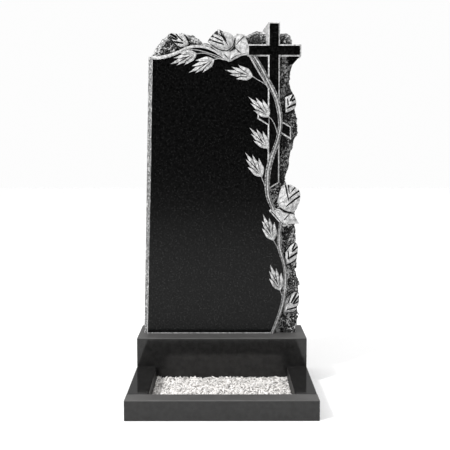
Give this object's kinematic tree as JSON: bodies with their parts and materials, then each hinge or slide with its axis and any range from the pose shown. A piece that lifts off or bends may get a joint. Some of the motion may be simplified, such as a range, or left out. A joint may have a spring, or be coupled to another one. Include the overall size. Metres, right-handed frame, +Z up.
{
  "type": "headstone",
  "caption": "Upright black granite memorial slab with carved vine, buds and three-barred cross, on a plinth behind a curbed bed of white marble chips.",
  "frame": {"origin": "centre of the footprint of plinth and bed, on the ground", "axes": "+Z up, the polished and carved face looks towards -Y, +X to the viewer's right"},
  "size_m": [0.65, 0.71, 1.3783],
  "materials": {
    "carved_granite": "satin",
    "polished_granite": "polished",
    "marble_chips": "matte"
  },
  "bodies": {
    "root": {"carved_slab": "carved_granite", "plinth": "polished_granite", "front_curb": "polished_granite", "left_curb": "polished_granite", "right_curb": "polished_granite", "gravel_bed": "marble_chips"}
  },
  "joints": []
}
